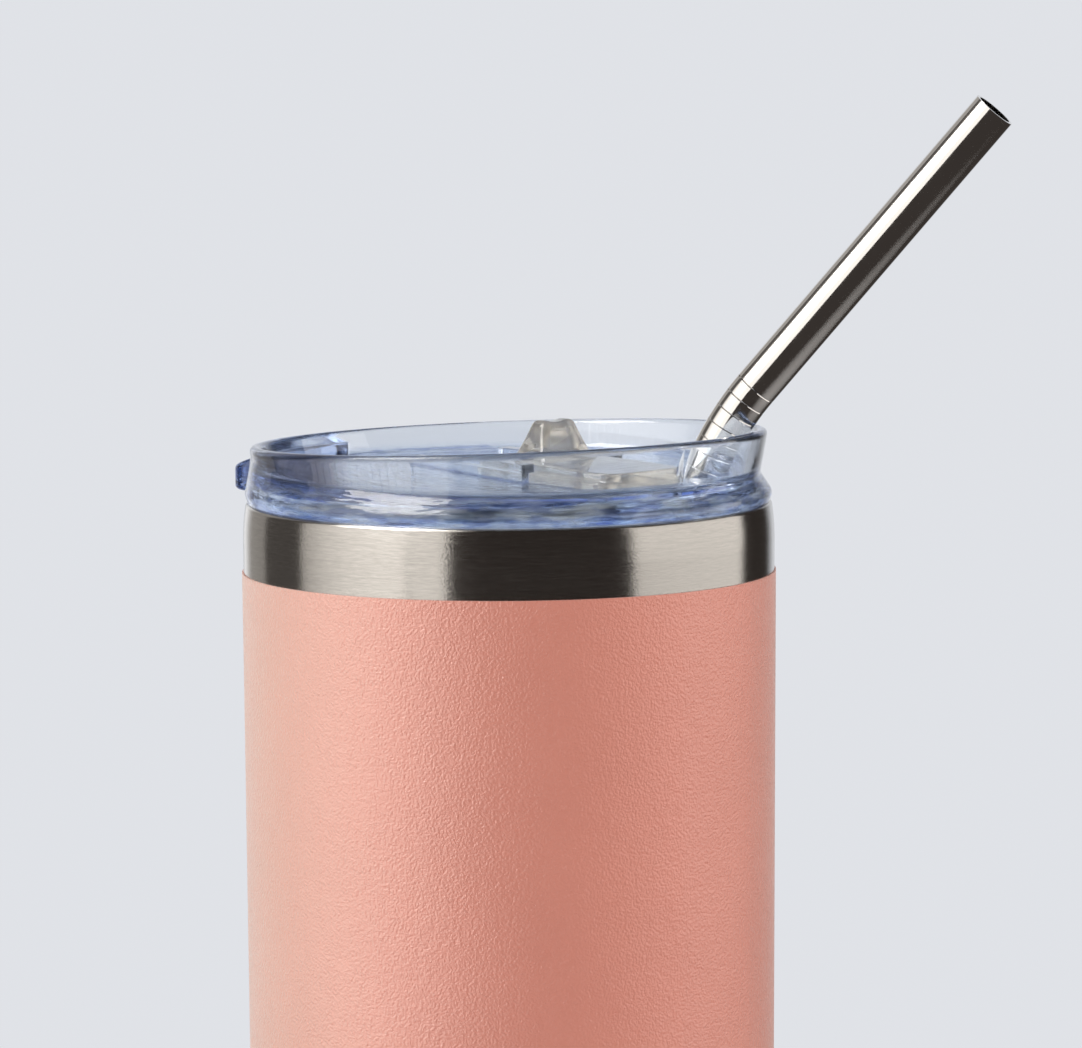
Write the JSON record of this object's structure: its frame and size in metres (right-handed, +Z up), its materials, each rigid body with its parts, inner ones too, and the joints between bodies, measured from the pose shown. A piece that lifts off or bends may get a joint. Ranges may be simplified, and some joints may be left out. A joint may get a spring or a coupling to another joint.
{
  "type": "insulated straw tumbler",
  "caption": "Double-walled steel drinking tumbler with a powder-coated body, a clear press-in lid with a sliding closure, and a bent metal straw.",
  "frame": {"origin": "centre of the flat cover under the base, on the cup's axis", "axes": "+Z up the cup's axis; +X towards the side the straw leans to; the lid's drinking lip points 48 degrees clockwise of +X seen from above"},
  "size_m": [0.106, 0.073, 0.2105],
  "materials": {
    "brushed_rim_steel": "brushed around the cup",
    "liner_steel": "satin",
    "base_steel": "spun satin",
    "seal_glass": "fused",
    "powder_coat": "fine textured powder coat",
    "getter_metal": "sintered, matt",
    "holder_steel": "stamped",
    "clear_lid": "clear, polished",
    "clear_slider": "clear, polished",
    "lid_silicone": "satin silicone",
    "straw_steel": "polished along its length",
    "stop_silicone": "satin silicone"
  },
  "bodies": {
    "cup": {"outer_shell": "brushed_rim_steel", "inner_liner": "liner_steel", "outer_base": "base_steel", "vacuum_seal": "seal_glass", "base_cover": "base_steel", "powder_coat": "powder_coat", "getter_holder": "holder_steel", "getter": "getter_metal"},
    "lid": {"lid_body": "clear_lid", "lid_gasket": "lid_silicone"},
    "closure": {"slider": "clear_slider"},
    "stop_ring": {"straw_stop_ring": "stop_silicone"},
    "drinking_straw": {"straw": "straw_steel"}
  },
  "joints": [
    {"name": "lid_lift", "type": "slide", "parent": "cup", "child": "lid", "axis": [0, 0, 1], "range_m": [0, 0.15]},
    {"name": "closure_slide", "type": "slide", "parent": "lid", "child": "closure", "axis": [-0.6691, 0.7431, 0], "range_m": [0, 0.011]},
    {"name": "straw_lift", "type": "slide", "parent": "lid", "child": "stop_ring", "axis": [0, 0, 1], "range_m": [0, 0.0155]},
    {"name": "straw_turn", "type": "hinge", "parent": "stop_ring", "child": "drinking_straw", "pos_m": [0.0242, -0.003, 0.139], "axis": [0, 0, 1], "continuous": true}
  ]
}
